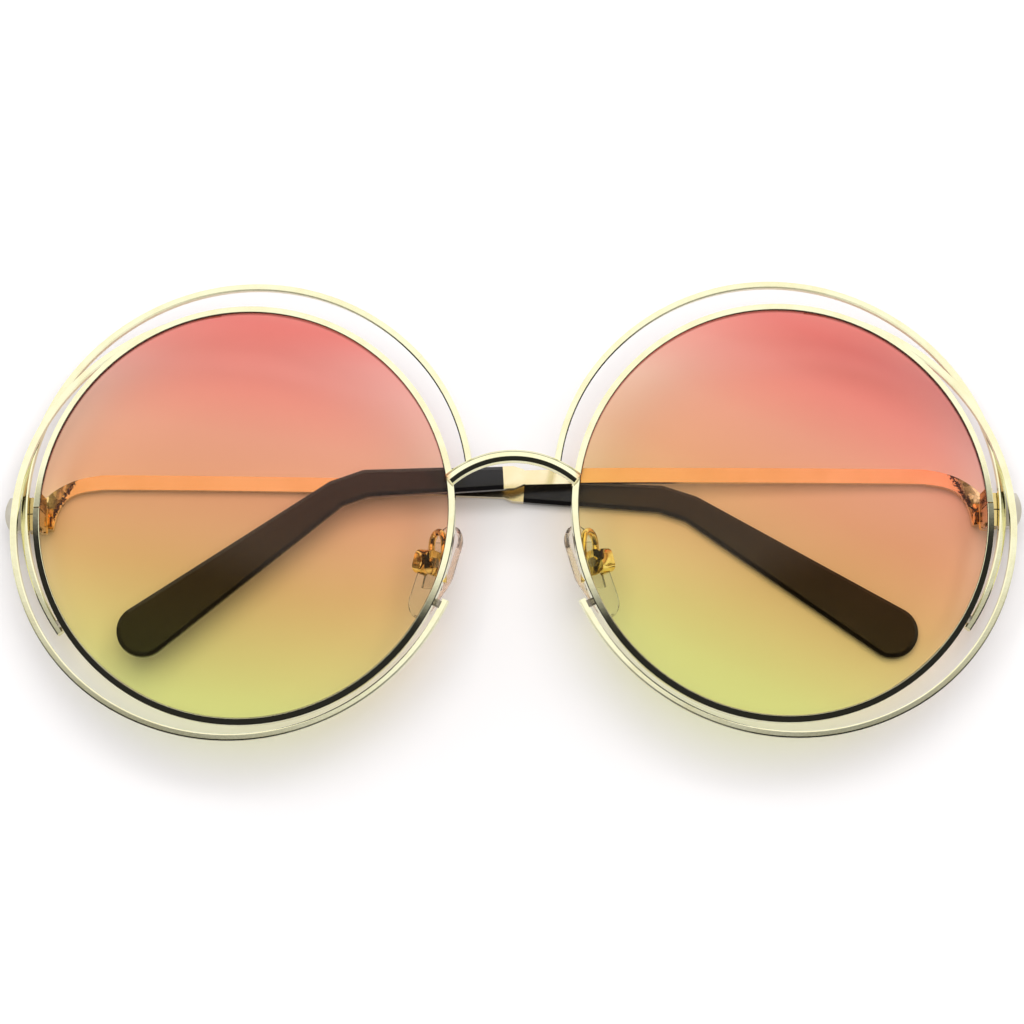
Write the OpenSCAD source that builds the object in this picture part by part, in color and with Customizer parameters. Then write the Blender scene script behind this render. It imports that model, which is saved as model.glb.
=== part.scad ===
// Oversized metal sunglasses lying folded on a table, lenses up.
// +X runs to the wearer's left temple as seen from the front, +Y to the brow, +Z out of the lenses.
// The origin is on the table under the middle of the outline.

/* [Frame front] */
// Gap between the two rims at the nose
nose_gap = 17.2; // [16:0.1:19]
// Outer radius of each round rim
rim_r = 31.5; // [30:0.25:32]
// Width of the rim seen from the front
rim_w = 1; // [0.9:0.05:1.2]
// Depth of the rim from front to back
rim_d = 1.9; // [1.7:0.1:2.4]
// Angle by which each eye is turned back towards its temple
wrap_angle = 6; // [4:0.5:8]
// Width of the slit where each rim closes
rim_slit = 0.16; // [0.1:0.02:0.3]
// Small bevel along the edges of the rims
rim_bevel = 0.12; // [0.05:0.01:0.2]
// How far the rim's front falls from its inner edge to its outer edge, as it follows the lens
rim_fall = 0.2; // [0.1:0.02:0.26]

/* [Lenses] */
// Radius of the sphere halfway through a lens
lens_curve_r = 105; // [90:1:130]
// Thickness of a lens
lens_t = 1.8; // [1.4:0.1:1.8]
// Depth of the groove that holds the lens
groove_depth = 0.55; // [0.4:0.05:0.6]
// Half the width of the groove at its mouth
groove_half_w = 0.75; // [0.6:0.05:0.8]
// Clearance between the lens and its groove
lens_gap = 0.05; // [0.02:0.01:0.08]

/* [Wrap wires] */
// Width of the two curved wires seen from the front
wire_w = 1; // [0.9:0.05:1.05]
// Depth of the two curved wires
wire_t = 1.3; // [1.1:0.1:1.4]
// Bevel along the edges of the wires
wire_bevel = 0.2; // [0.1:0.02:0.25]
// Backward slope of the upper wire towards the temple
upper_slope_angle = 3.5; // [3:0.25:4]
// Gap between the two wires where they cross
wire_gap = 0.05; // [0.04:0.01:0.15]
// Length of the soldered posts at the free ends of the wires
post_len = 1.1; // [0.8:0.1:1.5]

/* [Bridge] */
// Radius of the bridge's arch
bridge_arch_r = 14.4; // [14:0.1:15]
// Height of the top of the arch's centre line over the start of the upper wires
bridge_over = 1.05; // [0.9:0.05:1.3]
// Radius of the bridge bar
bridge_bar_r = 0.98; // [0.9:0.02:1.1]
// Half the angle that the arch spans
bridge_half_angle = 41; // [40:0.5:43]
// How far the bar's centre stands over its flat back
bridge_crown = 0.4; // [0.3:0.02:0.5]

/* [End pieces and closing blocks] */
// Height of the end piece and the closing blocks over the eye's centre
joint_y = 1.8; // [1.6:0.1:2.2]
// Height of the end piece
end_h = 5; // [4.8:0.1:5.4]
// Width of the end piece beyond the temple's inner face
end_w = 3.5; // [3.2:0.1:3.8]
// Radius of the end piece's rounded outer side
end_round_r = 4.5; // [4:0.1:6]
// Width of the foot that is soldered to the rim
foot_w = 1.15; // [1:0.05:1.2]
// Depth of the closing blocks
block_d = 1.9; // [1.7:0.1:2.4]
// Radius of the closing screws
closing_screw_r = 0.5; // [0.4:0.05:0.6]

/* [Hinges] */
// Height of the hinge's middle over the eye's centre
hinge_y = 1.1; // [0.9:0.1:1.3]
// Radius of the hinge barrel
barrel_r = 1; // [0.95:0.05:1.1]
// Height of the hinge barrel
barrel_h = 3.7; // [3.6:0.1:4]
// Height of the middle knuckle
knuckle_h = 1.5; // [1.3:0.1:1.7]
// Gap between neighbouring knuckles
knuckle_gap = 0.05; // [0.04:0.01:0.1]
// Radius of the hinge screw
pin_r = 0.55; // [0.5:0.05:0.6]
// Clearance round every screw
pin_gap = 0.03; // [0.02:0.01:0.06]
// Thickness of the hinge leaf on the temple
leaf_t = 0.7; // [0.6:0.05:0.8]
// Angle from folded to fully open
open_angle = 93; // [90:1:95]

/* [Temples] */
// Thickness of the temple at the hinge
butt_t = 1.6; // [1.5:0.05:1.8]
// Thickness of the metal band
band_t = 1.1; // [0.9:0.05:1.2]
// Height of the metal band
band_h = 2.2; // [2:0.05:2.5]
// Height of the band's centre line over the hinge
rise_h = 6.5; // [6.2:0.1:6.8]
// Length over which the temple rises from the hinge
rise_len = 10; // [9:0.5:11]
// Distance from the hinge to the start of the dark tip
tip_start = 72; // [68:1:74]
// Length of the thick collar in front of the dark tip
collar_len = 3.2; // [2.8:0.1:3.6]
// Angle by which the right temple is folded in over the left one
right_fold_angle = 3; // [2.8:0.1:3.2]
// Angle by which the right temple is lifted towards the brow
right_lift_angle = 1; // [0.6:0.1:1.2]

/* [Temple tips] */
// Thickness of the dark tip
tip_t = 2.1; // [2:0.05:2.2]
// Bevel along the edges of the dark tip
tip_bevel = 0.55; // [0.3:0.05:0.6]
// Height of the tip where it starts
tip_start_h = 3.4; // [3.2:0.1:3.8]
// Height of the tip at its rounded end
tip_end_h = 7.7; // [7:0.1:8]
// Length of the tip before its bend
tip_straight = 23; // [22:0.5:24]
// Length of the tip after its bend
tip_bent = 41.5; // [39:0.5:42.5]
// Downward angle of the left tip
left_bend_angle = 32.5; // [31:0.5:34.5]
// Downward angle of the right tip
right_bend_angle = 37.25; // [35:0.25:38]
// Height of the metal core inside the tip
core_h = 1.4; // [1:0.1:1.6]
// Thickness of the metal core inside the tip
core_t = 0.9; // [0.7:0.05:1]
// Clearance round the metal core
core_gap = 0.04; // [0.02:0.01:0.08]

/* [Nose pads] */
// Radius of the wire that carries each pad
arm_r = 0.5; // [0.4:0.05:0.6]
// Distance of the pad's screw inside the rim's nose side
pad_from_rim = 4.85; // [4.6:0.05:5.1]
// Distance of the pad's screw below the eye's centre
pad_down = 6.9; // [6.5:0.1:7.3]
// Distance of the pad's screw behind the rim's front
pad_back = 6.4; // [6.2:0.1:6.8]
// Angle between the pad and the wearer's straight-ahead line
splay_angle = 48; // [45:1:50]
// Angle by which the pads stand apart towards their lower ends
frontal_angle = 14; // [12:1:16]
// Length of the pad
pad_len = 14.8; // [14:0.1:15]
// Width of the pad
pad_w = 7.6; // [7.2:0.1:8]
// Thickness of the pad
pad_t = 2; // [1.8:0.1:2.2]
// Backward lean of the pad's lower end
pad_lean_angle = 18; // [15:1:20]
// Height of the pad's box
box_h = 3.6; // [3.2:0.1:3.8]
// Width of the pad's box
box_w = 2.8; // [2.6:0.1:3]
// Radius of the pad's screw
pad_pin_r = 0.45; // [0.4:0.05:0.5]

/* [Hidden] */
$fn = 96;

// Overrun of every cut
over = 1;
// Height and length of the weld where two lengths of a wire meet
weld_h = 0.01;
weld_len = 0.3;
// Length of each wire that stands past its post
post_inset = 0.4;
// Room behind the wires, in front of the closing blocks
block_gap = 0.1;
// Space between the barrel and the closing blocks
hinge_gap = 0.2;
// Gap between the temple's end and its stop when fully open
stop_gap = 0.1;
// Gap between the lower block and the end piece
lower_block_gap = 0.08;
// Gap between the hinge leaf on the front and the closing blocks
leaf_gap = 0.1;

// Path of the upper wire round the rim: start, heading, then radius and sweep of each arc
upper_start_share = [-1.0689, 0.2092];
upper_heading_angle = 82.7;
upper_radius_shares = [0.974, 1.102, 1.025];
upper_sweep_angles = [33.9, 88.6, 85.2];
// Where the upper wire's slope starts
upper_pivot_share = 0.825;
// Path of the lower wire
lower_start_share = [0.1192, 0.9767];
lower_heading_angle = -4.1;
lower_radius_shares = [1.1035, 0.991, 1.1115];
lower_sweep_angles = [37.1, 107.5, 95.4];

// Each arc turns clockwise from point p with heading h, radius r and sweep s
function arc_centre(p, h, r) = p + r * [sin(h), -cos(h)];
function arc_end(p, h, r, s) = arc_centre(p, h, r) - r * [sin(h - s), -cos(h - s)];
function path_point(p, h, rs, ss, n, i = 0) =
  i == n ? p : path_point(arc_end(p, h, rs[i], ss[i]), h - ss[i], rs, ss, n, i + 1);
function path_heading(h, ss, n, i = 0) = i == n ? h : path_heading(h - ss[i], ss, n, i + 1);

// A smooth line through hand-set points, with n steps between neighbours
function smooth_at(a, b, c, d, t) =
  (2 * b + (c - a) * t + (2 * a - 5 * b + 4 * c - d) * t * t + (3 * b - a - 3 * c + d) * t * t * t) / 2;
function smooth(pts, n = 6) = concat(
  [for (i = [0 : len(pts) - 2], k = [0 : n - 1])
    smooth_at(pts[max(i - 1, 0)], pts[i], pts[i + 1], pts[min(i + 2, len(pts) - 1)], k / n)],
  [pts[len(pts) - 1]]
);

upper_start = rim_r * upper_start_share;
upper_radii = rim_r * upper_radius_shares;
lower_start = rim_r * lower_start_share;
lower_radii = rim_r * lower_radius_shares;
upper_pivot = rim_r * upper_pivot_share;
upper_top = arc_centre(path_point(upper_start, upper_heading_angle, upper_radii, upper_sweep_angles, 1),
  path_heading(upper_heading_angle, upper_sweep_angles, 1), upper_radii[1])[1]
  + upper_radii[1] + wire_w / 2;
lower_bottom = arc_centre(path_point(lower_start, lower_heading_angle, lower_radii, lower_sweep_angles, 2),
  path_heading(lower_heading_angle, lower_sweep_angles, 2), lower_radii[2])[1]
  - lower_radii[2] - wire_w / 2;
// Widest reach of the upper wire from the eye's centre
upper_reach = arc_centre(path_point(upper_start, upper_heading_angle, upper_radii, upper_sweep_angles, 2),
  path_heading(upper_heading_angle, upper_sweep_angles, 2), upper_radii[2])[0]
  + upper_radii[2] + wire_w / 2;
// The wires' highest and lowest points lie the same distance from the origin
front_y = -(upper_top + lower_bottom) / 2;

eye_x = rim_r * cos(wrap_angle) + nose_gap / 2;
bridge_top = front_y + upper_start[1] + bridge_over;
pad_in = rim_r - pad_from_rim;
// Inner edge of the rim's front, and how steeply the front falls from there
rim_front_in = rim_r - rim_w + rim_bevel;
fall_slope = rim_fall / (rim_w - 2 * rim_bevel);

// Fronts of the lower wire, the upper wire at its pivot and the closing blocks
lower_wire_z = -rim_d;
upper_wire_z = lower_wire_z - wire_t - wire_gap;
slope_drop = (upper_reach - upper_pivot) * tan(upper_slope_angle);
block_z = upper_wire_z - wire_t - slope_drop - block_gap;
// The hinge's axis in the frame of its eye
hinge_back = block_z - block_d - barrel_r - hinge_gap;
// The temple's inner face, from the hinge's axis
temple_in = barrel_r + leaf_t;
// Height of the hinge's axis over the table
hinge_z = temple_in + butt_t;
hinge_x = eye_x + rim_r * cos(wrap_angle) + hinge_back * sin(wrap_angle);
// Height of the rims' front over the table at the eyes' centres
front_z = hinge_z + rim_r * sin(wrap_angle) - hinge_back * cos(wrap_angle);
hinge_top = front_y + hinge_y;
end_x = rim_r + temple_in;
lens_r = rim_r - rim_w - lens_gap;
lens_centre_z = -rim_d / 2 + lens_gap - sqrt(lens_curve_r * lens_curve_r - lens_r * lens_r);
// The flat back of the bridge, at the height where the rims' nose sides come forward
bridge_back_share = 0.0985;
bridge_back = front_z + rim_r * bridge_back_share;

// Frame of one eye: +x towards the temple, +z forward, the rim's front at 0
module eye(side) {
  mirror([side < 0 ? 1 : 0, 0, 0])
    translate([eye_x, front_y, front_z])
      rotate([0, wrap_angle, 0])
        children();
}

// Frame of one temple: x from the hinge along the folded temple, y up, z out of its outer face
module temple_frame(side) {
  mirror([side < 0 ? 1 : 0, 0, 0])
    translate([hinge_x, hinge_top, hinge_z])
      rotate([0, side < 0 ? 0 : right_fold_angle, 0])
        rotate([0, 180, 0])
          children();
}

// Frame of one temple's outline, which the right temple carries a little higher
module outline_frame(side) {
  temple_frame(side)
    rotate([0, 0, side < 0 ? 0 : right_lift_angle])
      children();
}

// Space that the front leaves free for the temple's end when it is fully open
module stop_space(side) {
  size = end_h + over;
  mirror([side < 0 ? 1 : 0, 0, 0])
    translate([hinge_x, hinge_top, hinge_z])
      rotate([0, -open_angle, 0])
        translate([stop_gap - 2 * size, -size, -2 * size])
          cube([2 * size, 2 * size, 4 * size]);
}

// Frame of one nose pad: x across the pad towards the back, y up, z towards the nose
module pad_frame(side) {
  eye(side)
    translate([-pad_in, -pad_down, -pad_back])
      rotate([0, 180 + 90 - splay_angle, frontal_angle])
        mirror([1, 0, 0])
          children();
}

// Cross-section of a wire with its front at 0, made larger all round by grow
module wire_section(grow = 0) {
  w = wire_w / 2 + grow;
  top = grow;
  low = -wire_t - grow;
  b = wire_bevel;
  polygon([
    [-w, top - b], [b - w, top], [w - b, top], [w, top - b],
    [w, low + b], [w - b, low], [b - w, low], [-w, low + b]
  ]);
}

// Arcs that follow each other without a kink, each starting along +x and turning clockwise
module wire_run(radii, sweeps, i = 0) {
  if (i < len(radii)) {
    if (i > 0)
      translate([-weld_len / 2, 0, 0])
        rotate([90, 0, 90])
          linear_extrude(height = weld_len)
            wire_section(weld_h);
    translate([0, -radii[i], 0])
      rotate([0, 0, 90 - sweeps[i]])
        rotate_extrude(angle = sweeps[i])
          translate([radii[i], 0])
            wire_section();
    translate([0, -radii[i], 0])
      rotate([0, 0, -sweeps[i]])
        translate([0, radii[i], 0])
          wire_run(radii, sweeps, i + 1);
  }
}

// Plane of the upper wire, sloping back towards the temple
module upper_plane() {
  translate([upper_pivot, 0, upper_wire_z])
    rotate([0, upper_slope_angle, 0])
      translate([-upper_pivot, 0, 0])
        children();
}

module upper_run() {
  upper_plane()
    translate([upper_start[0], upper_start[1], 0])
      rotate([0, 0, upper_heading_angle])
        wire_run(upper_radii, upper_sweep_angles);
}

module lower_run() {
  translate([lower_start[0], lower_start[1], lower_wire_z])
    rotate([0, 0, lower_heading_angle])
      wire_run(lower_radii, lower_sweep_angles);
}

module rim(side) {
  inner = rim_r - rim_w;
  mid = -rim_d / 2;
  gap_angle = rim_slit / rim_r * 180 / PI;
  color("gold")
    eye(side)
      rotate([0, 0, asin(joint_y / rim_r) + gap_angle / 2])
        rotate_extrude(angle = 360 - gap_angle)
          polygon([
            [rim_front_in, 0], [rim_r - rim_bevel, -rim_fall], [rim_r, -rim_fall - rim_bevel],
            [rim_r, rim_bevel - rim_d], [rim_r - rim_bevel, -rim_d], [rim_front_in, -rim_d],
            [inner, rim_bevel - rim_d],
            [inner, mid - groove_half_w], [inner + groove_depth, mid], [inner, mid + groove_half_w],
            [inner, -rim_bevel]
          ]);
}

module lens(side) {
  mid = -rim_d / 2;
  half_w = groove_half_w * (1 - lens_gap / groove_depth);
  tip = rim_r - rim_w + groove_depth - 2 * lens_gap;
  root = lens_r - groove_depth;
  color([0.93, 0.6, 0.45, 0.55])
    eye(side)
      union() {
        intersection() {
          difference() {
            translate([0, 0, lens_centre_z])
              sphere(r = lens_curve_r + lens_t / 2, $fn = 180);
            translate([0, 0, lens_centre_z])
              sphere(r = lens_curve_r - lens_t / 2, $fn = 180);
          }
          translate([0, 0, -rim_d - over])
            cylinder(r = lens_r, h = rim_d + lens_r);
        }
        rotate_extrude()
          polygon([
            [root, mid - half_w], [lens_r, mid - half_w], [tip, mid],
            [lens_r, mid + half_w], [root, mid + half_w]
          ]);
      }
}

module bridge_bar() {
  translate([0, bridge_top - bridge_arch_r, bridge_back + bridge_crown])
    rotate([0, 0, 90 - bridge_half_angle])
      rotate_extrude(angle = 2 * bridge_half_angle)
        translate([bridge_arch_r, 0])
          circle(r = bridge_bar_r, $fn = 48);
}

module bridge() {
  color([0.96, 0.93, 0.8])
    difference() {
      bridge_bar();
      translate([-bridge_arch_r, -bridge_arch_r, bridge_back - 2 * bridge_bar_r])
        cube([2 * bridge_arch_r, 2 * bridge_arch_r, 2 * bridge_bar_r]);
      for (side = [-1, 1])
        eye(side) {
          rotate_extrude()
            polygon([
              [0, -2 * rim_d], [rim_r + wire_w, -2 * rim_d],
              [rim_r + wire_w, -(rim_r + wire_w - rim_front_in) * fall_slope], [rim_front_in, 0], [0, 0]
            ]);
          translate([0, 0, -rim_d])
            cylinder(r = rim_front_in, h = rim_d + 4 * bridge_bar_r);
        }
    }
}

module upper_wire(side) {
  color([0.8, 0.6, 0.3])
    difference() {
      eye(side)
        upper_run();
      intersection() {
        bridge_bar();
        translate([-bridge_arch_r, -bridge_arch_r, bridge_back])
          cube([2 * bridge_arch_r, 2 * bridge_arch_r, 2 * bridge_bar_r]);
      }
    }
}

module lower_wire(side) {
  color([0.8, 0.6, 0.3])
    eye(side)
      lower_run();
}

// A soldered post near the free end of a wire, from the rim to the wire's inner side
module post_block(wire_end, depth) {
  rotate([0, 0, atan2(wire_end[1], wire_end[0]) + post_turn])
    translate([rim_front_in, -post_len / 2, -rim_d - depth])
      cube([norm(wire_end) - (wire_w - wire_bevel) / 2 - rim_front_in, post_len, depth]);
}

upper_end = path_point(upper_start, upper_heading_angle, upper_radii, upper_sweep_angles, 3);
lower_end = path_point(lower_start, lower_heading_angle, lower_radii, lower_sweep_angles, 3);
// Angle along the rim from each wire's end to the middle of its post
post_turn = (post_len / 2 + post_inset) / rim_r * 180 / PI;

module upper_wire_post(side) {
  color([0.55, 0.45, 0.3])
    eye(side)
      difference() {
        post_block(upper_end, wire_t + wire_gap + wire_t / 2);
        upper_run();
      }
}

module lower_wire_post(side) {
  color([0.3, 0.25, 0.2])
    eye(side)
      difference() {
        post_block(lower_end, wire_t - 2 * wire_bevel);
        lower_run();
      }
}

module closing_hole(r) {
  translate([rim_r, joint_y - end_h, block_z - block_d / 2])
    rotate([-90, 0, 0])
      cylinder(r = r, h = 2 * end_h);
}

// One closing block: a foot behind the rim and a body that the closing screw runs through
module closing_block(low, high, body_x) {
  difference() {
    union() {
      translate([rim_r - rim_w, low, block_z - block_d])
        cube([foot_w, high - low, block_d - block_z - rim_d]);
      translate([rim_r - rim_w, low, block_z - block_d])
        cube([body_x - rim_r + rim_w, high - low, block_d]);
    }
    closing_hole(closing_screw_r + pin_gap);
  }
}

module upper_closing_block(side) {
  color("gold")
    eye(side)
      closing_block(joint_y + rim_slit / 2, joint_y + end_h / 2, end_x);
}

module lower_closing_block(side) {
  color("gold")
    eye(side)
      closing_block(joint_y - end_h / 2, joint_y - rim_slit / 2, end_x - lower_block_gap);
}

// A slotted screw along +y, with its head above the length h
module slotted_screw(r, h, head_r, head_h) {
  slot = head_h / 2;
  rotate([-90, 0, 0])
    difference() {
      union() {
        cylinder(r = r, h = h, $fn = 48);
        translate([0, 0, h])
          cylinder(r = head_r, h = head_h, $fn = 48);
      }
      translate([-head_r - over, -slot / 2, h + head_h - slot])
        cube([2 * head_r + 2 * over, slot, slot + over]);
    }
}

closing_head_h = 0.4;
closing_head_share = 1.6;

module closing_screws() {
  color("silver")
    for (side = [-1, 1])
      eye(side)
        translate([rim_r, joint_y + end_h / 2, block_z - block_d / 2])
          rotate([180, 0, 0])
            slotted_screw(closing_screw_r, end_h, closing_screw_r * closing_head_share, closing_head_h);
}

module end_piece(side) {
  color([0.85, 0.8, 0.7])
    difference() {
      eye(side)
        intersection() {
          translate([end_x, joint_y - end_h / 2, hinge_back - barrel_r])
            cube([end_w, end_h, block_z - hinge_back + barrel_r]);
          translate([end_x + end_w - end_round_r, joint_y, hinge_back - barrel_r - over])
            cylinder(r = end_round_r, h = block_z - hinge_back + barrel_r + 2 * over);
        }
      stop_space(side);
    }
}

module barrel(low, high) {
  translate([0, low, 0])
    rotate([-90, 0, 0])
      cylinder(r = barrel_r, h = high - low, $fn = 48);
}

module pin_hole(r, h) {
  translate([0, -h / 2 - over, 0])
    rotate([-90, 0, 0])
      cylinder(r = r, h = h + 2 * over, $fn = 48);
}

module front_hinge_knuckles(side) {
  top = barrel_h / 2;
  color([0.8, 0.65, 0.35])
    difference() {
      union() {
        eye(side)
          translate([rim_r, hinge_y, hinge_back])
            barrel(-top, top);
        difference() {
          eye(side)
            translate([rim_r, hinge_y - top, hinge_back])
              cube([temple_in, barrel_h, barrel_r + hinge_gap - leaf_gap]);
          stop_space(side);
        }
      }
      eye(side)
        translate([rim_r, hinge_y, hinge_back]) {
          pin_hole(pin_r + pin_gap, barrel_h);
          translate([-2 * temple_in, -knuckle_h / 2 - knuckle_gap, -2 * temple_in])
            cube([3 * temple_in - leaf_t / 2, knuckle_h + 2 * knuckle_gap, 4 * temple_in]);
        }
    }
}

// Lower and upper edge of the temple's end at the hinge, as shares of the rise
butt_low_share = -0.14;
leaf_high_share = 0.34;
butt_len_share = 0.16;

module temple_hinge_knuckle(side) {
  butt_len = rise_len * butt_len_share;
  low = rise_h * butt_low_share;
  high = rise_h * leaf_high_share;
  color([0.8, 0.65, 0.35])
    temple_frame(side)
      difference() {
        union() {
          barrel(-knuckle_h / 2, knuckle_h / 2);
          translate([0, -knuckle_h / 2, 0])
            cube([butt_len, knuckle_h, temple_in]);
          translate([0, low, barrel_r + knuckle_gap])
            cube([butt_len, high - low, leaf_t - knuckle_gap]);
        }
        pin_hole(pin_r + pin_gap, barrel_h);
      }
}

pin_head_share = 1.6;
pin_head_h = 0.45;

module hinge_screws() {
  color("silver")
    for (side = [-1, 1])
      eye(side)
        translate([rim_r, hinge_y - barrel_h / 2, hinge_back])
          slotted_screw(pin_r, barrel_h, pin_r * pin_head_share, pin_head_h);
}

// Edges of the rise as shares of its length and height
rise_upper_shares = [[0, 0.54], [0.16, 0.755], [0.35, 0.93], [0.56, 1.05], [0.8, 1.118]];
rise_lower_shares = [
  [0.16, -0.14], [0.19, 0.08], [0.23, 0.28], [0.3, 0.48], [0.42, 0.64], [0.6, 0.74], [0.82, 0.785]
];
// Centre line of the band as shares of the way to the tip and of the rise
band_shares = [[0.15, 0.97], [0.37, 0.937], [0.6, 0.887], [0.8, 0.832], [1, 0.738]];
// Height of the tip's centre line at its start and at its bend, as shares of the rise
tip_start_share = 0.738;
bend_v_share = 0.492;

function band_edge(s) = [for (p = band_shares) [p[0] * tip_start, p[1] * rise_h + s * band_h / 2]];

module temple_outline() {
  upper = smooth(concat([for (p = rise_upper_shares) [p[0] * rise_len, p[1] * rise_h]], band_edge(1)));
  lower = smooth(concat([for (p = rise_lower_shares) [p[0] * rise_len, p[1] * rise_h]], band_edge(-1)));
  polygon(concat(
    [[0, butt_low_share * rise_h]],
    lower,
    [for (i = [len(upper) - 1 : -1 : 0]) upper[i]]
  ));
}

tip_start_at = [tip_start, rise_h * tip_start_share];
bend_at = [tip_start + tip_straight, rise_h * bend_v_share];
tip_slope = atan2(bend_at[1] - tip_start_at[1], tip_straight);
band_mid = temple_in + band_t / 2;

// The metal core: a straight length and a bent length, widened by gap on every side
module core(side, gap) {
  bend = side < 0 ? left_bend_angle : right_bend_angle;
  straight = tip_straight / cos(tip_slope);
  translate([tip_start_at[0], tip_start_at[1], band_mid])
    rotate([0, 0, tip_slope]) {
      translate([-collar_len / 2, -core_h / 2 - gap, -core_t / 2 - gap])
        cube([straight + collar_len / 2 + gap, core_h + 2 * gap, core_t + 2 * gap]);
      translate([straight, 0, 0])
        rotate([0, 0, -bend - tip_slope])
          translate([-core_h / 2, -core_h / 2 - gap, -core_t / 2 - gap])
            cube([tip_bent * core_share + gap, core_h + 2 * gap, core_t + 2 * gap]);
    }
}

// Length of the bent core as a share of the tip's bent length
core_share = 0.8;
// Where the thick end of the temple thins to the band, as shares of the rise's length
thin_shares = [0.62, 0.95];

module temple(side) {
  collar_t = (band_t + tip_t) / 2;
  color([0.95, 0.9, 0.72])
    outline_frame(side)
      union() {
        difference() {
          translate([0, 0, temple_in])
            linear_extrude(height = butt_t)
              temple_outline();
          translate([0, 2 * rise_h, 0])
            rotate([90, 0, 0])
              linear_extrude(height = 4 * rise_h)
                polygon([
                  [rise_len * thin_shares[0], temple_in + butt_t],
                  [rise_len * thin_shares[1], temple_in + band_t],
                  [tip_start + over, temple_in + band_t], [tip_start + over, temple_in + 2 * butt_t],
                  [rise_len * thin_shares[0], temple_in + 2 * butt_t]
                ]);
        }
        translate([tip_start_at[0], tip_start_at[1], band_mid])
          rotate([0, 0, tip_slope])
            translate([-collar_len, 0, -collar_t / 2])
              linear_extrude(height = collar_t)
                polygon([
                  [0, -band_h / 2], [collar_len / 2, -tip_start_h / 2], [collar_len, -tip_start_h / 2],
                  [collar_len, tip_start_h / 2], [collar_len / 2, tip_start_h / 2], [0, band_h / 2]
                ]);
        core(side, 0);
      }
}

// A flat disc with bevelled edges, as thick as the tip
module tip_disc(r) {
  t = tip_t / 2;
  rotate_extrude($fn = 40)
    polygon([
      [0, -t], [r - tip_bevel, -t], [r, tip_bevel - t],
      [r, t - tip_bevel], [r - tip_bevel, t], [0, t]
    ]);
}

// Length of the rounded bend
bend_len = 5;
// Height of the tip at the bend, as a share of the way from its start height to its end height
bend_h_share = 0.16;

module temple_tip(side) {
  bend = side < 0 ? left_bend_angle : right_bend_angle;
  bend_h = tip_start_h + (tip_end_h - tip_start_h) * bend_h_share;
  straight = tip_straight / cos(tip_slope);
  r0 = tip_start_h / 2;
  r1 = bend_h / 2;
  r2 = tip_end_h / 2;
  along = [cos(-bend - tip_slope), sin(-bend - tip_slope)];
  places = [
    [-r0, 0, r0], [straight - bend_len / 2, 0, r1],
    [straight + bend_len / 2 * along[0], bend_len / 2 * along[1], r1],
    [straight + (tip_bent - r2) * along[0], (tip_bent - r2) * along[1], r2]
  ];
  color([0.12, 0.1, 0.08])
    outline_frame(side)
      difference() {
        translate([tip_start_at[0], tip_start_at[1], band_mid])
          rotate([0, 0, tip_slope])
            for (i = [0 : len(places) - 2])
              hull()
                for (p = [places[i], places[i + 1]])
                  translate([p[0], p[1], 0])
                    tip_disc(p[2]);
        translate([tip_start_at[0], tip_start_at[1], band_mid])
          rotate([0, 0, tip_slope])
            translate([-4 * r0, -2 * r0, -tip_t])
              cube([4 * r0, 4 * r0, 2 * tip_t]);
        core(side, core_gap);
      }
}

// The pad's box, its slot and the arm that carries it
box_back = 1.7;
box_front = 1;
box_round_r = 1.1;
slot_w = 1.5;
slot_back = 1;
roof_t = 0.5;
insert_r = 0.92;
insert_gap = 0.06;
solder_t = 0.1;
solder_w = 0.8;
solder_len = 1.6;
// Distance of the arm's foot inside the rim's outer edge
foot_in = 2;
foot_low = 10.7;
foot_high = 4.8;
// How far from the middle of the box's roof the arm meets it
leg_side = 0.6;

module pad_box() {
  depth = box_back + box_front;
  difference() {
    intersection() {
      translate([-box_w / 2, -box_h / 2, -box_back])
        cube([box_w, box_h, depth]);
      // Its back has round edges above and below
      union() {
        translate([-box_w, -box_h / 2, box_round_r - box_back])
          cube([2 * box_w, box_h, depth]);
        for (s = [-1, 1])
          translate([-box_w, s * (box_h / 2 - box_round_r), box_round_r - box_back])
            rotate([0, 90, 0])
              cylinder(r = box_round_r, h = 2 * box_w, $fn = 48);
        translate([-box_w, box_round_r - box_h / 2, -box_back])
          cube([2 * box_w, box_h - 2 * box_round_r, depth]);
      }
    }
    translate([-slot_w / 2, -box_h, -slot_back])
      cube([slot_w, 1.5 * box_h - roof_t, slot_back + box_front + over]);
    translate([-box_w, 0, 0])
      rotate([0, 90, 0])
        cylinder(r = pad_pin_r + pin_gap, h = 2 * box_w, $fn = 48);
  }
}

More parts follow.
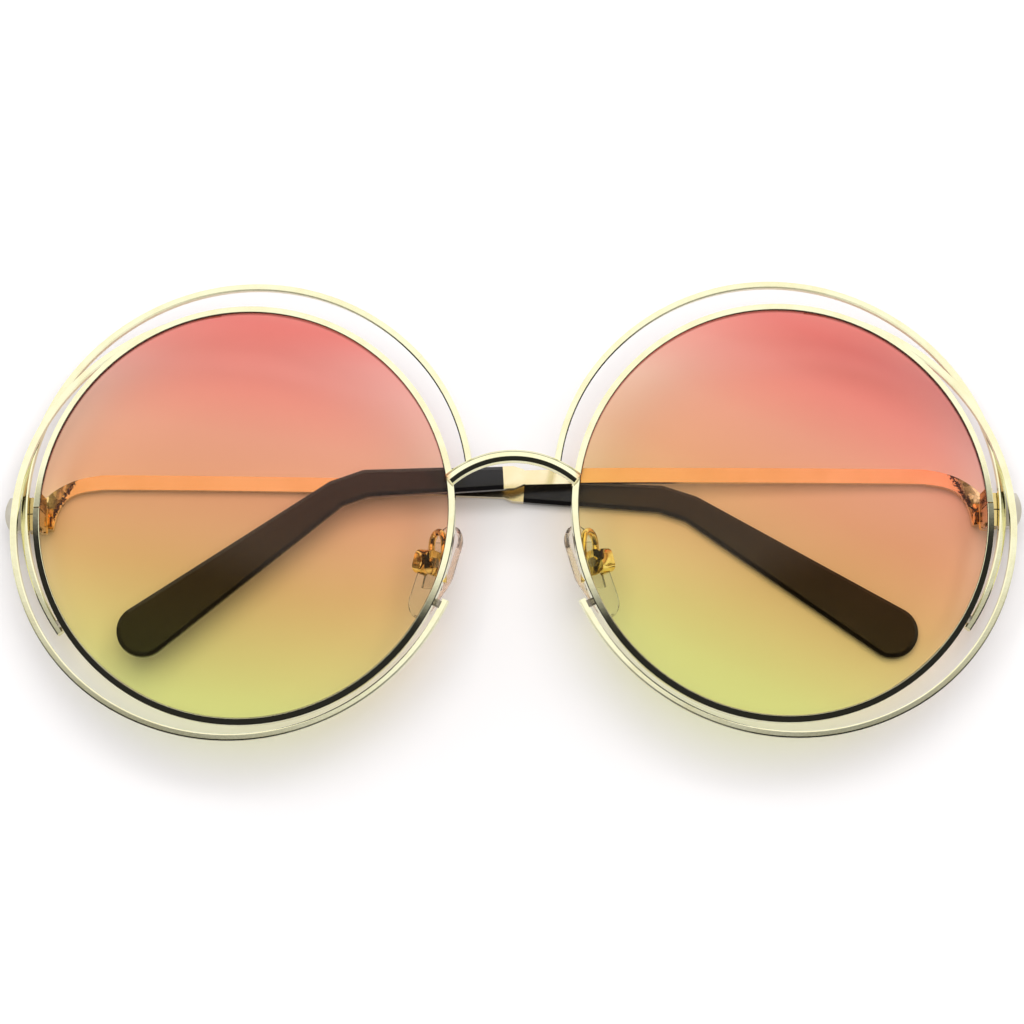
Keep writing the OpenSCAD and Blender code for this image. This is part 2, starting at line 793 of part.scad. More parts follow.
module pad_arm(side) {
  mid = (box_back - box_front) / 2;
  // Place of the arm's second leg over the box's roof, from the pad's screw
  across = mid * cos(splay_angle) - leg_side * sin(splay_angle);
  leg_x = across * cos(frontal_angle) - box_h / 2 * sin(frontal_angle) - pad_in;
  leg_z = mid * sin(splay_angle) + leg_side * cos(splay_angle) - pad_back;
  leg_low = pad_down - box_h / 2 * cos(frontal_angle) - across * sin(frontal_angle) + roof_t / 2;
  foot_x = rim_r - foot_in;
  foot_z = -rim_d - arm_r - solder_t;
  reach = [leg_x + foot_x, leg_z - foot_z];
  bend_r = norm(reach) / 2;
  turn = atan2(reach[1], reach[0]);
  color([0.85, 0.65, 0.35])
    union() {
      eye(side) {
        translate([-foot_x, -foot_low, foot_z])
          rotate([-90, 0, 0])
            cylinder(r = arm_r, h = foot_low - foot_high, $fn = 32);
        translate([-foot_x - solder_w / 2, -foot_low, foot_z])
          cube([solder_w, solder_len, arm_r + solder_t]);
        for (at = [[-foot_x, -foot_high, foot_z], [leg_x, -foot_high, leg_z]])
          translate(at)
            sphere(r = arm_r + weld_h, $fn = 32);
        translate([-foot_x, -foot_high, foot_z])
          rotate([0, -turn, 0])
            translate([bend_r, 0, 0])
              rotate_extrude(angle = 180)
                translate([bend_r, 0])
                  circle(r = arm_r, $fn = 32);
        translate([leg_x, -leg_low, leg_z])
          rotate([-90, 0, 0])
            cylinder(r = arm_r, h = leg_low - foot_high, $fn = 32);
      }
      pad_frame(side)
        pad_box();
    }
}

// The plate inside the pad
plate_back = 1.6;
plate_t = 0.6;
plate_w = 4;
plate_len = 7;
pad_base = 1.4;
// How far the pad's middle lies below its screw
pad_drop = 0.9;

module insert_solid(gap) {
  stem = slot_w - 2 * insert_gap + 2 * gap;
  translate([-stem / 2, -insert_r - gap, 0])
    cube([stem, 2 * insert_r + 2 * gap, plate_back + plate_t / 2]);
  translate([-plate_w / 2 - gap, -plate_len / 2 - gap, plate_back - gap])
    cube([plate_w + 2 * gap, plate_len + 2 * gap, plate_t + 2 * gap]);
}

module pad_insert(side) {
  w = slot_w - 2 * insert_gap;
  color([0.9, 0.9, 0.88])
    pad_frame(side)
      difference() {
        union() {
          translate([-w / 2, 0, 0])
            rotate([0, 90, 0])
              cylinder(r = insert_r, h = w, $fn = 48);
          insert_solid(0);
        }
        translate([-slot_w, 0, 0])
          rotate([0, 90, 0])
            cylinder(r = pad_pin_r + pin_gap, h = 2 * slot_w, $fn = 48);
      }
}

// Outline of a pad's dome as shares of its radius and thickness
dome_shares = [[0, 0], [0.92, 0], [1, 0.25], [1, 0.4], [0.88, 0.68], [0.62, 0.9], [0.3, 0.985], [0, 1]];
// Radius of the pad's rounded ends as a share of half its width
pad_end_share = 0.74;
// Thickness of the pad's rounded ends as a share of its middle
dome_end_share = 0.85;

module nose_pad(side) {
  r = pad_w / 2;
  end_r = r * pad_end_share;
  away = pad_len / 2 - end_r;
  color([0.93, 0.92, 0.88, 0.8])
    pad_frame(side)
      difference() {
        translate([0, -pad_drop, pad_base])
          rotate([0, 0, pad_lean_angle])
            hull() {
              rotate_extrude($fn = 40)
                polygon([for (p = dome_shares) [p[0] * r, p[1] * pad_t]]);
              for (s = [-1, 1])
                translate([0, s * away, 0])
                  rotate_extrude($fn = 40)
                    polygon([for (p = dome_shares) [p[0] * end_r, p[1] * pad_t * dome_end_share]]);
            }
        insert_solid(core_gap);
      }
}

pad_head_share = 1.6;
pad_head_h = 0.35;

module pad_screws() {
  color("silver")
    for (side = [-1, 1])
      pad_frame(side)
        translate([box_w / 2, 0, 0])
          rotate([0, 0, 90])
            slotted_screw(pad_pin_r, box_w, pad_pin_r * pad_head_share, pad_head_h);
}

rim(-1);  // left_rim
rim(1);  // right_rim
lens(-1);  // left_lens
lens(1);  // right_lens
upper_wire(-1);  // left_upper_wire
upper_wire(1);  // right_upper_wire
lower_wire(-1);  // left_lower_wire
lower_wire(1);  // right_lower_wire
upper_wire_post(-1);  // left_upper_wire_post
upper_wire_post(1);  // right_upper_wire_post
lower_wire_post(-1);  // left_lower_wire_post
lower_wire_post(1);  // right_lower_wire_post
bridge();
end_piece(-1);  // left_end_piece
end_piece(1);  // right_end_piece
upper_closing_block(-1);  // left_upper_closing_block
upper_closing_block(1);  // right_upper_closing_block
lower_closing_block(-1);  // left_lower_closing_block
lower_closing_block(1);  // right_lower_closing_block
closing_screws();
front_hinge_knuckles(-1);  // left_front_hinge_knuckles
front_hinge_knuckles(1);  // right_front_hinge_knuckles
temple_hinge_knuckle(-1);  // left_temple_hinge_knuckle
temple_hinge_knuckle(1);  // right_temple_hinge_knuckle
hinge_screws();
temple(-1);  // left_temple
temple(1);  // right_temple
temple_tip(-1);  // left_temple_tip
temple_tip(1);  // right_temple_tip
pad_arm(-1);  // left_pad_arm
pad_arm(1);  // right_pad_arm
pad_insert(-1);  // left_pad_insert
pad_insert(1);  // right_pad_insert
nose_pad(-1);  // left_nose_pad
nose_pad(1);  // right_nose_pad
pad_screws();
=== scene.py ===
# %% [markdown]
# # Oversized round sunglasses, folded on a white table
# Every piece of these sunglasses comes from an exact CAD model and already sits in its place. What is left
# for Blender is the look: which metal, how the tint runs down a lens, what the light does on a polished
# edge. The cells run from top to bottom, as in a notebook, and each one prints what it made.

# %% Load the frame
import bpy
import math
from types import SimpleNamespace
from mathutils import Matrix, Vector


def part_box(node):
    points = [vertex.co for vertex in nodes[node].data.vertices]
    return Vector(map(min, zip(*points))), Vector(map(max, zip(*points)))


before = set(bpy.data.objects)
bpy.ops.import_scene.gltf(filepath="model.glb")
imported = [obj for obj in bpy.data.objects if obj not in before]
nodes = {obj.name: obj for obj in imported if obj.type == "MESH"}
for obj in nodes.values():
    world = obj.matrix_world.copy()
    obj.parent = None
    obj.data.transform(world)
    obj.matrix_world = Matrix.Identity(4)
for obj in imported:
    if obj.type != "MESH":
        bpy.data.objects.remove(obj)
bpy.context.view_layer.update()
print("pieces from the CAD model:", len(nodes))

# %% [markdown]
# ## The camera
# The photograph was taken from almost straight above, tipped a little towards the wearer's cheeks, with a
# long lens. A long lens far away keeps both eyes the same size and hides the depth of the folded temples.
# The picture is turned by a third of a degree, so the camera gets the same small roll. An aim constraint
# could point it, but three directions worked out from the two angles say exactly where it looks.

# %% Camera
# Lengths here are in millimetres, and become metres where the camera is placed.
MM = 0.001
mm_per_pixel = 0.1474
half_image_pixels = 512
camera_away = 700.0
tilt = math.radians(11.5)
roll = math.radians(-0.287)
aim = Vector((-0.21, -0.857, 14.8)) * MM

backward = Vector((0, -math.sin(tilt), math.cos(tilt)))
right = Vector((1, 0, 0))
up = backward.cross(right)
turned_right = right * math.cos(roll) + up * math.sin(roll)
turned_up = up * math.cos(roll) - right * math.sin(roll)
camera_data = bpy.data.cameras.new("studio_camera")
camera_data.sensor_width = 36
camera_data.lens = camera_data.sensor_width / 2 / (half_image_pixels * mm_per_pixel / camera_away)
camera_data.clip_start = 0.05
camera = bpy.data.objects.new("studio_camera", camera_data)
place = Matrix((turned_right, turned_up, backward)).transposed().to_4x4()
place.translation = aim + backward * camera_away * MM
camera.matrix_world = place
bpy.context.scene.collection.objects.link(camera)
bpy.context.scene.camera = camera
print("focal length", round(camera_data.lens, 1), "mm")

# %% [markdown]
# ## Small helpers for shader trees
# A shader tree is a set of nodes and the links between them. It can be drawn by hand in the shader editor,
# but a script can be read, compared and run again. `add` makes one node and sets its options and plain values
# in one line, and `join` links an output to an input. The others make the few sums, soft steps and colour
# mixes that most of the finishes below need.

# %% Shader tree helpers
def add(tree, kind, values=None, **options):
    """A new node of this kind, with its options and the plain values of its inputs."""
    made = tree.nodes.new(kind)
    for option, setting in options.items():
        setattr(made, option, setting)
    for socket, value in (values or {}).items():
        made.inputs[socket].default_value = value
    return made


def join(tree, output, socket):
    tree.links.new(output, socket)


def maths(tree, operation, first, second):
    """A Math node whose two inputs are each an output or a number."""
    made = add(tree, "ShaderNodeMath", operation=operation)
    for index, term in enumerate((first, second)):
        if isinstance(term, (int, float)):
            made.inputs[index].default_value = term
        else:
            join(tree, term, made.inputs[index])
    return made.outputs[0]


def step(tree, value, low, high, to_low=0.0, to_high=1.0):
    """A soft step: to_low below low, to_high above high, smooth between them."""
    made = add(tree, "ShaderNodeMapRange", interpolation_type="SMOOTHSTEP")
    for socket, number in (("From Min", low), ("From Max", high), ("To Min", to_low), ("To Max", to_high)):
        made.inputs[socket].default_value = number
    join(tree, value, made.inputs["Value"])
    return made.outputs["Result"]


# A Mix node has two inputs and a result for each kind of data, and these are the ones for colours.
FIRST_COLOUR, SECOND_COLOUR, MIXED_COLOUR = 6, 7, 2


def mixed(tree, factor, first, second, blend="MIX"):
    """Two colours mixed, each an output or four numbers."""
    made = add(tree, "ShaderNodeMix", data_type="RGBA", blend_type=blend)
    join(tree, factor, made.inputs["Factor"])
    for index, colour in ((FIRST_COLOUR, first), (SECOND_COLOUR, second)):
        if isinstance(colour, tuple):
            made.inputs[index].default_value = colour
        else:
            join(tree, colour, made.inputs[index])
    return made.outputs[MIXED_COLOUR]


print("helpers ready")

# %% [markdown]
# ## The light
# Polished metal has almost no look of its own: it shows the room. In the photograph the flat metal faces are
# pale and even, so a white cloth hangs above and behind the glasses, and every face that leans to the front
# is black, because the dark room behind the camera is there. Real cards round the glasses could be modelled
# for this, but the world shader can paint the same room, and can be tuned with a few numbers. The rays that
# leave a polished surface see a white tent over the back half of the sky, and a dark room in front. The table
# is lit by a plain sky that is brighter at the back, and rays that go straight from the camera to the
# background see white.
# Light that reaches the table through a lens is already counted once by the shadow rays, so the rays that
# find the sky through glass after the table carry half of it.

# %% World
# Each edge gives two parts of a ray's unit direction, between which the light changes softly.
TENT_WHITE = (1.0, 0.985, 0.985, 1)
ROOM_DARK = (0.02, 0.02, 0.022, 1)
TENT_STRENGTH = 1.3
TENT_SWEEP = 0.33
TENT_FRONT_EDGE = (-0.14, 0.05)
TENT_LOWER_EDGE = (0.05, 0.3)
SKY_IN_FRONT = (0.3, 0.29, 0.3, 1)
SKY_BEHIND = (1.0, 0.99, 1.0, 1)
SKY_EDGE = (-0.6, 0.5)
SKY_STRENGTH = 0.74
ALREADY_COUNTED = 0.5

world = bpy.data.worlds.new("studio_tent")
bpy.context.scene.world = world
world.use_nodes = True
tree = world.node_tree
tree.nodes.clear()
direction = add(tree, "ShaderNodeSeparateXYZ")
join(tree, add(tree, "ShaderNodeTexCoord").outputs["Generated"], direction.inputs[0])
sideways = maths(tree, "ABSOLUTE", direction.outputs["X"], 0)
swept = maths(tree, "MULTIPLY", sideways, TENT_SWEEP)
behind = step(tree, maths(tree, "SUBTRACT", direction.outputs["Y"], swept), *TENT_FRONT_EDGE)
above = step(tree, direction.outputs["Z"], *TENT_LOWER_EDGE)
tent = maths(tree, "MULTIPLY", behind, above)
ray = add(tree, "ShaderNodeLightPath").outputs
from_table = maths(tree, "GREATER_THAN", ray["Diffuse Depth"], 0.5)
polished = maths(tree, "MAXIMUM", ray["Is Glossy Ray"], ray["Is Transmission Ray"])
sees_tent = maths(tree, "MULTIPLY", polished, maths(tree, "SUBTRACT", 1, from_table))
through_glass = maths(tree, "MULTIPLY", ray["Is Transmission Ray"], from_table)
sky_left = maths(tree, "SUBTRACT", 1, maths(tree, "MULTIPLY", through_glass, ALREADY_COUNTED))
tent_light = add(tree, "ShaderNodeBackground", {"Strength": TENT_STRENGTH})
join(tree, mixed(tree, tent, ROOM_DARK, TENT_WHITE), tent_light.inputs["Color"])
sky_light = add(tree, "ShaderNodeBackground")
from_behind = step(tree, direction.outputs["Y"], *SKY_EDGE)
join(tree, mixed(tree, from_behind, SKY_IN_FRONT, SKY_BEHIND), sky_light.inputs["Color"])
join(tree, maths(tree, "MULTIPLY", sky_left, SKY_STRENGTH), sky_light.inputs["Strength"])
backdrop = add(tree, "ShaderNodeBackground", {"Color": (1, 1, 1, 1), "Strength": 1.0})


def choose(tree, factor, first, second):
    """A Mix Shader between two shaders."""
    made = add(tree, "ShaderNodeMixShader")
    join(tree, factor, made.inputs[0])
    join(tree, first, made.inputs[1])
    join(tree, second, made.inputs[2])
    return made.outputs[0]


light = choose(tree, sees_tent, sky_light.outputs[0], tent_light.outputs[0])
seen = choose(tree, ray["Is Camera Ray"], light, backdrop.outputs[0])
join(tree, seen, add(tree, "ShaderNodeOutputWorld").inputs["Surface"])
print("tent strength", TENT_STRENGTH, "sky strength", SKY_STRENGTH)

# %% [markdown]
# ## The softbox
# The sky alone would leave hardly any shadow. One large softbox, almost overhead and a little to the brow
# side, gives the soft shadows under the temples and beyond the lower rims. A small lamp would draw the rims
# as sharp lines inside the lenses. It is left out of reflections: the photograph shows no lamp in the lenses.
# The Standard view keeps white paper white, as a product photograph does.

# %% Softbox and view
LAMP_PLACE = Vector((0.03, 0.14, 0.96))
LAMP_SIDE = 0.8
LAMP_WATTS = 8.0

softbox = bpy.data.lights.new("brow_softbox", "AREA")
softbox.shape = "RECTANGLE"
softbox.size = LAMP_SIDE
softbox.size_y = LAMP_SIDE
softbox.energy = LAMP_WATTS
softbox.color = (1.0, 0.995, 0.985)
lamp = bpy.data.objects.new("brow_softbox", softbox)
lamp.location = LAMP_PLACE
lamp.rotation_euler = LAMP_PLACE.to_track_quat("Z", "Y").to_euler()
lamp.visible_glossy = False
lamp.visible_transmission = False
bpy.context.scene.collection.objects.link(lamp)
bpy.context.scene.view_settings.view_transform = "Standard"
print("softbox", LAMP_SIDE, "m wide,", round(LAMP_PLACE.length, 2), "m away")

# %% [markdown]
# ## The table
# A white sheet of card under the glasses. A curved backdrop could stand behind it, but this camera looks down
# and never sees one, so one large square does. A faint mottling in the white keeps it from looking like a
# computer's plain colour where the shadow falls on it.
# The glasses lie lenses up, so temples that open swing down past the table. Its underside is see-through,
# which lets a camera from below look at them. From above the card is plain white card.

# %% Table
def new_finish(name, **constants):
    """A material with one Principled shader, its plain values set on the shader itself."""
    material = bpy.data.materials.new(name)
    material.use_nodes = True
    tree = material.node_tree
    tree.nodes.clear()
    output = add(tree, "ShaderNodeOutputMaterial")
    shader = add(tree, "ShaderNodeBsdfPrincipled")
    join(tree, shader.outputs["BSDF"], output.inputs["Surface"])
    for socket, value in constants.items():
        shader.inputs[socket.replace("_", " ")].default_value = value
    return material, tree, shader


def show(tree, surface):
    """Puts another shader in the material's output."""
    output = next(n for n in tree.nodes if n.type == "OUTPUT_MATERIAL")
    join(tree, surface, output.inputs["Surface"])


CARD_WHITE = (0.93, 0.92, 0.93, 1)
CARD_WHITER = (0.95, 0.94, 0.95, 1)

table_reach = 3.0
corners = [(x * table_reach, y * table_reach, 0) for x, y in ((-1, -1), (1, -1), (1, 1), (-1, 1))]
table_mesh = bpy.data.meshes.new("table_card")
table_mesh.from_pydata(corners, [], [(0, 1, 2, 3)])
table = bpy.data.objects.new("table_card", table_mesh)
bpy.context.scene.collection.objects.link(table)
card, tree, shader = new_finish("white_card", Roughness=0.7)
mottling = add(tree, "ShaderNodeTexNoise", {"Scale": 60.0, "Detail": 2.0})
join(tree, add(tree, "ShaderNodeTexCoord").outputs["Object"], mottling.inputs["Vector"])
join(tree, mixed(tree, mottling.outputs["Fac"], CARD_WHITE, CARD_WHITER), shader.inputs["Base Color"])
underside = add(tree, "ShaderNodeNewGeometry").outputs["Backfacing"]
see_through = add(tree, "ShaderNodeBsdfTransparent")
show(tree, choose(tree, underside, shader.outputs["BSDF"], see_through.outputs["BSDF"]))
table_mesh.materials.append(card)
print("table", 2 * table_reach, "m wide")

# %% [markdown]
# ## A shared effect: polish and haze
# Plated metal is never perfectly even. Fingers, cloths and the plating bath leave places that are a little
# duller and a little deeper in colour. Painted maps could hold them, but a noise needs no unwrapping. One
# node group makes that for all the metals and plastics here. It takes a place in the object's own space, so
# the pattern stays on a temple when the temple swings open.

# %% Polish and haze group
HAZE_EDGE = (0.35, 0.7)


def new_group(name, inputs, outputs):
    """An empty shader node group with named sockets, and its two end nodes."""
    group = bpy.data.node_groups.new(name, "ShaderNodeTree")
    for label, kind, default in inputs:
        socket = group.interface.new_socket(label, in_out="INPUT", socket_type=kind)
        if default is not None:
            socket.default_value = default
    for label, kind in outputs:
        group.interface.new_socket(label, in_out="OUTPUT", socket_type=kind)
    return group, add(group, "NodeGroupInput"), add(group, "NodeGroupOutput")


haze_group, given, result = new_group(
    "polish_and_haze",
    [("Place", "NodeSocketVector", None), ("Clean Colour", "NodeSocketColor", (0.8, 0.8, 0.8, 1)),
     ("Hazy Colour", "NodeSocketColor", (0.7, 0.7, 0.7, 1)), ("Patch Scale", "NodeSocketFloat", 200.0),
     ("Polished Roughness", "NodeSocketFloat", 0.08), ("Haze", "NodeSocketFloat", 0.08)],
    [("Colour", "NodeSocketColor"), ("Roughness", "NodeSocketFloat")])
patches = add(haze_group, "ShaderNodeTexNoise", {"Detail": 3.0, "Roughness": 0.6})
join(haze_group, given.outputs["Place"], patches.inputs["Vector"])
join(haze_group, given.outputs["Patch Scale"], patches.inputs["Scale"])
hazy = step(haze_group, patches.outputs["Fac"], *HAZE_EDGE)
join(haze_group, mixed(haze_group, hazy, given.outputs["Clean Colour"], given.outputs["Hazy Colour"]),
     result.inputs["Colour"])
duller = maths(haze_group, "MULTIPLY", hazy, given.outputs["Haze"])
join(haze_group, maths(haze_group, "ADD", duller, given.outputs["Polished Roughness"]),
     result.inputs["Roughness"])
print("group", haze_group.name, "made")

# %% [markdown]
# ## A shared effect: fine grain
# Under a lens, plating and moulded plastic have a fine uneven skin. The group puts out a height, which a Bump
# node in each material turns into a normal. Real displacement would need far more faces for the same look:
# the bumps are far smaller than a hair, and only soften reflections.

# %% Fine grain group
SKIN_SCALE = 2500.0
SKIN_DEPTH = 0.000004

grain_group, given, result = new_group(
    "fine_grain",
    [("Place", "NodeSocketVector", None), ("Grain Scale", "NodeSocketFloat", SKIN_SCALE)],
    [("Height", "NodeSocketFloat")])
skin = add(grain_group, "ShaderNodeTexNoise", {"Detail": 2.0})
join(grain_group, given.outputs["Place"], skin.inputs["Vector"])
join(grain_group, given.outputs["Grain Scale"], skin.inputs["Scale"])
join(grain_group, skin.outputs["Fac"], result.inputs["Height"])


def use_group(tree, group, **values):
    """Places a group in a material, with its plain values set by name."""
    placed = add(tree, "ShaderNodeGroup", node_tree=group)
    for socket, value in values.items():
        placed.inputs[socket.replace("_", " ")].default_value = value
    return placed


def grained(tree, shader, place, scale, depth):
    """Feeds the shader's normal from the fine grain, and returns the Bump node."""
    grain = use_group(tree, grain_group, Grain_Scale=scale)
    join(tree, place, grain.inputs["Place"])
    bump = add(tree, "ShaderNodeBump", {"Strength": 0.5, "Distance": depth})
    join(tree, grain.outputs["Height"], bump.inputs["Height"])
    join(tree, bump.outputs["Normal"], shader.inputs["Normal"])
    return bump


def plated(name, clean, hazy, polish, haze, patch_scale=220.0, skin_depth=SKIN_DEPTH):
    """A plated metal: patches of haze and a fine skin. With a depth of None the caller makes the normal."""
    material, tree, shader = new_finish(name, Metallic=1.0)
    place = add(tree, "ShaderNodeTexCoord").outputs["Object"]
    coat = use_group(tree, haze_group, Clean_Colour=clean, Hazy_Colour=hazy, Patch_Scale=patch_scale,
                     Polished_Roughness=polish, Haze=haze)
    join(tree, place, coat.inputs["Place"])
    join(tree, coat.outputs["Colour"], shader.inputs["Base Color"])
    join(tree, coat.outputs["Roughness"], shader.inputs["Roughness"])
    skin = grained(tree, shader, place, SKIN_SCALE, skin_depth) if skin_depth else None
    return SimpleNamespace(material=material, tree=tree, shader=shader, place=place,
                           colour=coat.outputs["Colour"], skin=skin)


def dress(piece_names, material):
    """Puts a finish on each CAD piece named."""
    for name in piece_names:
        piece = nodes[name]
        piece.data.materials.clear()
        piece.data.materials.append(material)


def both(name):
    return ["left_" + name, "right_" + name]


print("group", grain_group.name, "made")

# %% [markdown]
# ## A shared effect: the crown of a drawn face
# The front faces of real rims and wires are never dead flat. They fall away a little from the middle of each
# eye, and the whole front wraps a little round the face. That is too little to see as a shape, but a
# mirror doubles every lean: it decides which faces show the white tent and which show the dark room.
# The crown could be cut into the solids, but it is a tenth or two of a millimetre, so a shader serves. The
# group leans the normal of the faces that look up, by the place on the front. The narrow bevels beside them
# are rounded over by the polishing wheel, so their normal is raised a little too.

# %% Crown group
# The upward part of a face's normal, from not at all to fully counted as a top face or a bevel.
LOOKS_UP = (0.85, 0.93)
LOOKS_ASLANT = (0.55, 0.65)

lens_low, lens_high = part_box("right_lens")
eye_x, eye_y = [(low + high) / 2 for low, high in zip(lens_low, lens_high)][:2]
eye_radius = (lens_high[1] - lens_low[1]) / 2

crown_group, given, result = new_group(
    "front_crown",
    [("Place", "NodeSocketVector", None), ("Face Normal", "NodeSocketVector", None),
     ("Fall", "NodeSocketFloat", 0.1), ("Wrap", "NodeSocketFloat", 0.1),
     ("Rounding", "NodeSocketFloat", 0.9)],
    [("Normal", "NodeSocketVector")])
where = add(crown_group, "ShaderNodeSeparateXYZ")
join(crown_group, given.outputs["Place"], where.inputs[0])
side = maths(crown_group, "SIGN", where.outputs["X"], 0)
outward = maths(crown_group, "SUBTRACT", maths(crown_group, "ABSOLUTE", where.outputs["X"], 0), eye_x)
fall = maths(crown_group, "DIVIDE", given.outputs["Fall"], eye_radius)
lean_out = maths(crown_group, "ADD", maths(crown_group, "MULTIPLY", outward, fall), given.outputs["Wrap"])
lean_up = maths(crown_group, "MULTIPLY", maths(crown_group, "SUBTRACT", where.outputs["Y"], eye_y), fall)
lean = add(crown_group, "ShaderNodeCombineXYZ")
join(crown_group, maths(crown_group, "MULTIPLY", lean_out, side), lean.inputs["X"])
join(crown_group, lean_up, lean.inputs["Y"])
facing = add(crown_group, "ShaderNodeSeparateXYZ")
join(crown_group, given.outputs["Face Normal"], facing.inputs[0])
looks_up = step(crown_group, facing.outputs["Z"], *LOOKS_UP)
leaned = add(crown_group, "ShaderNodeVectorMath", operation="MULTIPLY_ADD")
join(crown_group, lean.outputs[0], leaned.inputs[0])
join(crown_group, looks_up, leaned.inputs[1])
join(crown_group, given.outputs["Face Normal"], leaned.inputs[2])
looks_aslant = step(crown_group, facing.outputs["Z"], *LOOKS_ASLANT)
on_bevel = maths(crown_group, "MULTIPLY", looks_aslant, maths(crown_group, "SUBTRACT", 1, looks_up))
raised = add(crown_group, "ShaderNodeCombineXYZ")
join(crown_group, maths(crown_group, "MULTIPLY", on_bevel, given.outputs["Rounding"]), raised.inputs["Z"])
rounded = add(crown_group, "ShaderNodeVectorMath", operation="ADD")
join(crown_group, leaned.outputs[0], rounded.inputs[0])
join(crown_group, raised.outputs[0], rounded.inputs[1])
unit = add(crown_group, "ShaderNodeVectorMath", operation="NORMALIZE")
join(crown_group, rounded.outputs[0], unit.inputs[0])
join(crown_group, unit.outputs[0], result.inputs["Normal"])
print("eye middle at", round(1000 * eye_x, 1), round(1000 * eye_y, 1), "mm")

# %% [markdown]
# ## Pale gold for the rims and wires
# The rims and wires are drawn metal with a thin pale gold plate. Such a plate is closer to champagne than to
# yellow. Because it is a metal, the colour goes into Base Color with Metallic at 1, and the shine comes
# from a low roughness. The rims' solid already falls away from the eye, so they only get the wrap. The
# wires' bevels are polished rounder than the rims', which leaves a soft line where the rims have a sharp one.
# The closing blocks behind them wear a deeper gold, and the end pieces a satin champagne.

# %% Rims, wires, end pieces and blocks
PALE_GOLD = (0.8, 0.785, 0.54, 1)
PALE_GOLD_HAZY = (0.77, 0.74, 0.47, 1)
BLOCK_GOLD = (0.66, 0.52, 0.22, 1)
BLOCK_GOLD_HAZY = (0.5, 0.38, 0.15, 1)
CHAMPAGNE = (0.7, 0.67, 0.58, 1)
CHAMPAGNE_HAZY = (0.62, 0.58, 0.48, 1)


def crowned(name, fall, wrap, rounding):
    """Pale gold plate on faces that fall from the eye and wrap round the face."""
    metal = plated(name, PALE_GOLD, PALE_GOLD_HAZY, polish=0.05, haze=0.06)
    crown = use_group(metal.tree, crown_group, Fall=fall, Wrap=wrap, Rounding=rounding)
    face_normal = add(metal.tree, "ShaderNodeNewGeometry").outputs["Normal"]
    join(metal.tree, metal.place, crown.inputs["Place"])
    join(metal.tree, face_normal, crown.inputs["Face Normal"])
    join(metal.tree, crown.outputs["Normal"], metal.skin.inputs["Normal"])
    return metal.material


wires = both("upper_wire") + both("lower_wire")
dress(both("rim"), crowned("rim_plate", fall=0.0, wrap=0.15, rounding=0.9))
dress(wires, crowned("wire_plate", fall=0.05, wrap=0.04, rounding=4.5))
block_gold = plated("closing_block_gold", BLOCK_GOLD, BLOCK_GOLD_HAZY, polish=0.1, haze=0.15)
dress(both("upper_closing_block") + both("lower_closing_block"), block_gold.material)
champagne = plated("satin_champagne", CHAMPAGNE, CHAMPAGNE_HAZY, polish=0.32, haze=0.12)
dress(both("end_piece"), champagne.material)
print("pale gold on", len(both("rim") + wires), "pieces")

# %% [markdown]
# ## Solder and screws
# Each wire's free end is soldered to its rim with a small seat. The seats get a near-black metal, rougher
# than
# the wire beside them, with small pits: the same plated recipe makes it, with small pale patches and a
# deeper skin. The screws are turned from bar and left a little duller than the castings round them.

# %% Solder and screws
SOLDER_DARK = (0.16, 0.14, 0.11, 1)
SOLDER_PALE = (0.62, 0.56, 0.42, 1)
SCREW_METAL = (0.75, 0.7, 0.58, 1)
SCREW_METAL_HAZY = (0.6, 0.55, 0.45, 1)

seats = both("upper_wire_post") + both("lower_wire_post")
solder = plated("plated_solder", SOLDER_DARK, SOLDER_PALE, polish=0.12, haze=0.25,
                patch_scale=900.0, skin_depth=0.00006)
dress(seats, solder.material)
turned = plated("turned_screw_metal", SCREW_METAL, SCREW_METAL_HAZY, polish=0.16, haze=0.12)
dress(["hinge_screws", "pad_screws", "closing_screws"], turned.material)
print("solder on", len(seats), "seats")

# %% [markdown]
# ## The bridge
# The bridge is a round bar, bent to an arch and soldered to both rims. Its plate is the same pale gold,
# polished a little more. Near its ends the heat of soldering has turned the plate orange. A second material
# on some faces would leave a hard line, so a mask that grows with the distance from the middle mixes a
# warmer colour in.

# %% Bridge
BRIDGE_GOLD = (0.85, 0.83, 0.56, 1)
BRIDGE_GOLD_HAZY = (0.82, 0.79, 0.5, 1)
HEATED_GOLD = (0.78, 0.5, 0.24, 1)
# Distances from the middle of the bridge, in metres.
HEAT_EDGE = (0.0088, 0.0099)

metal = plated("bridge_plate", BRIDGE_GOLD, BRIDGE_GOLD_HAZY, polish=0.045, haze=0.04)
tree = metal.tree
across = add(tree, "ShaderNodeSeparateXYZ")
join(tree, metal.place, across.inputs[0])
heated = step(tree, maths(tree, "ABSOLUTE", across.outputs["X"], 0), *HEAT_EDGE)
join(tree, mixed(tree, heated, metal.colour, HEATED_GOLD), metal.shader.inputs["Base Color"])
dress(["bridge"], metal.material)
print("bridge", [round(1000 * s, 1) for s in nodes["bridge"].dimensions], "mm")

# %% [markdown]
# ## Deep gold for the pad arms and hinges
# The small parts behind the front are castings, plated with a deeper, more yellow gold. Tumbling has polished
# them without making them flat, so a slow wave in the normal breaks their reflections into bright and dark.

# %% Pad arms and hinges
DEEP_GOLD = (0.95, 0.74, 0.28, 1)
DEEP_GOLD_HAZY = (0.8, 0.55, 0.17, 1)
WAVE_SCALE = 300.0
WAVE_HEIGHT = 0.0012

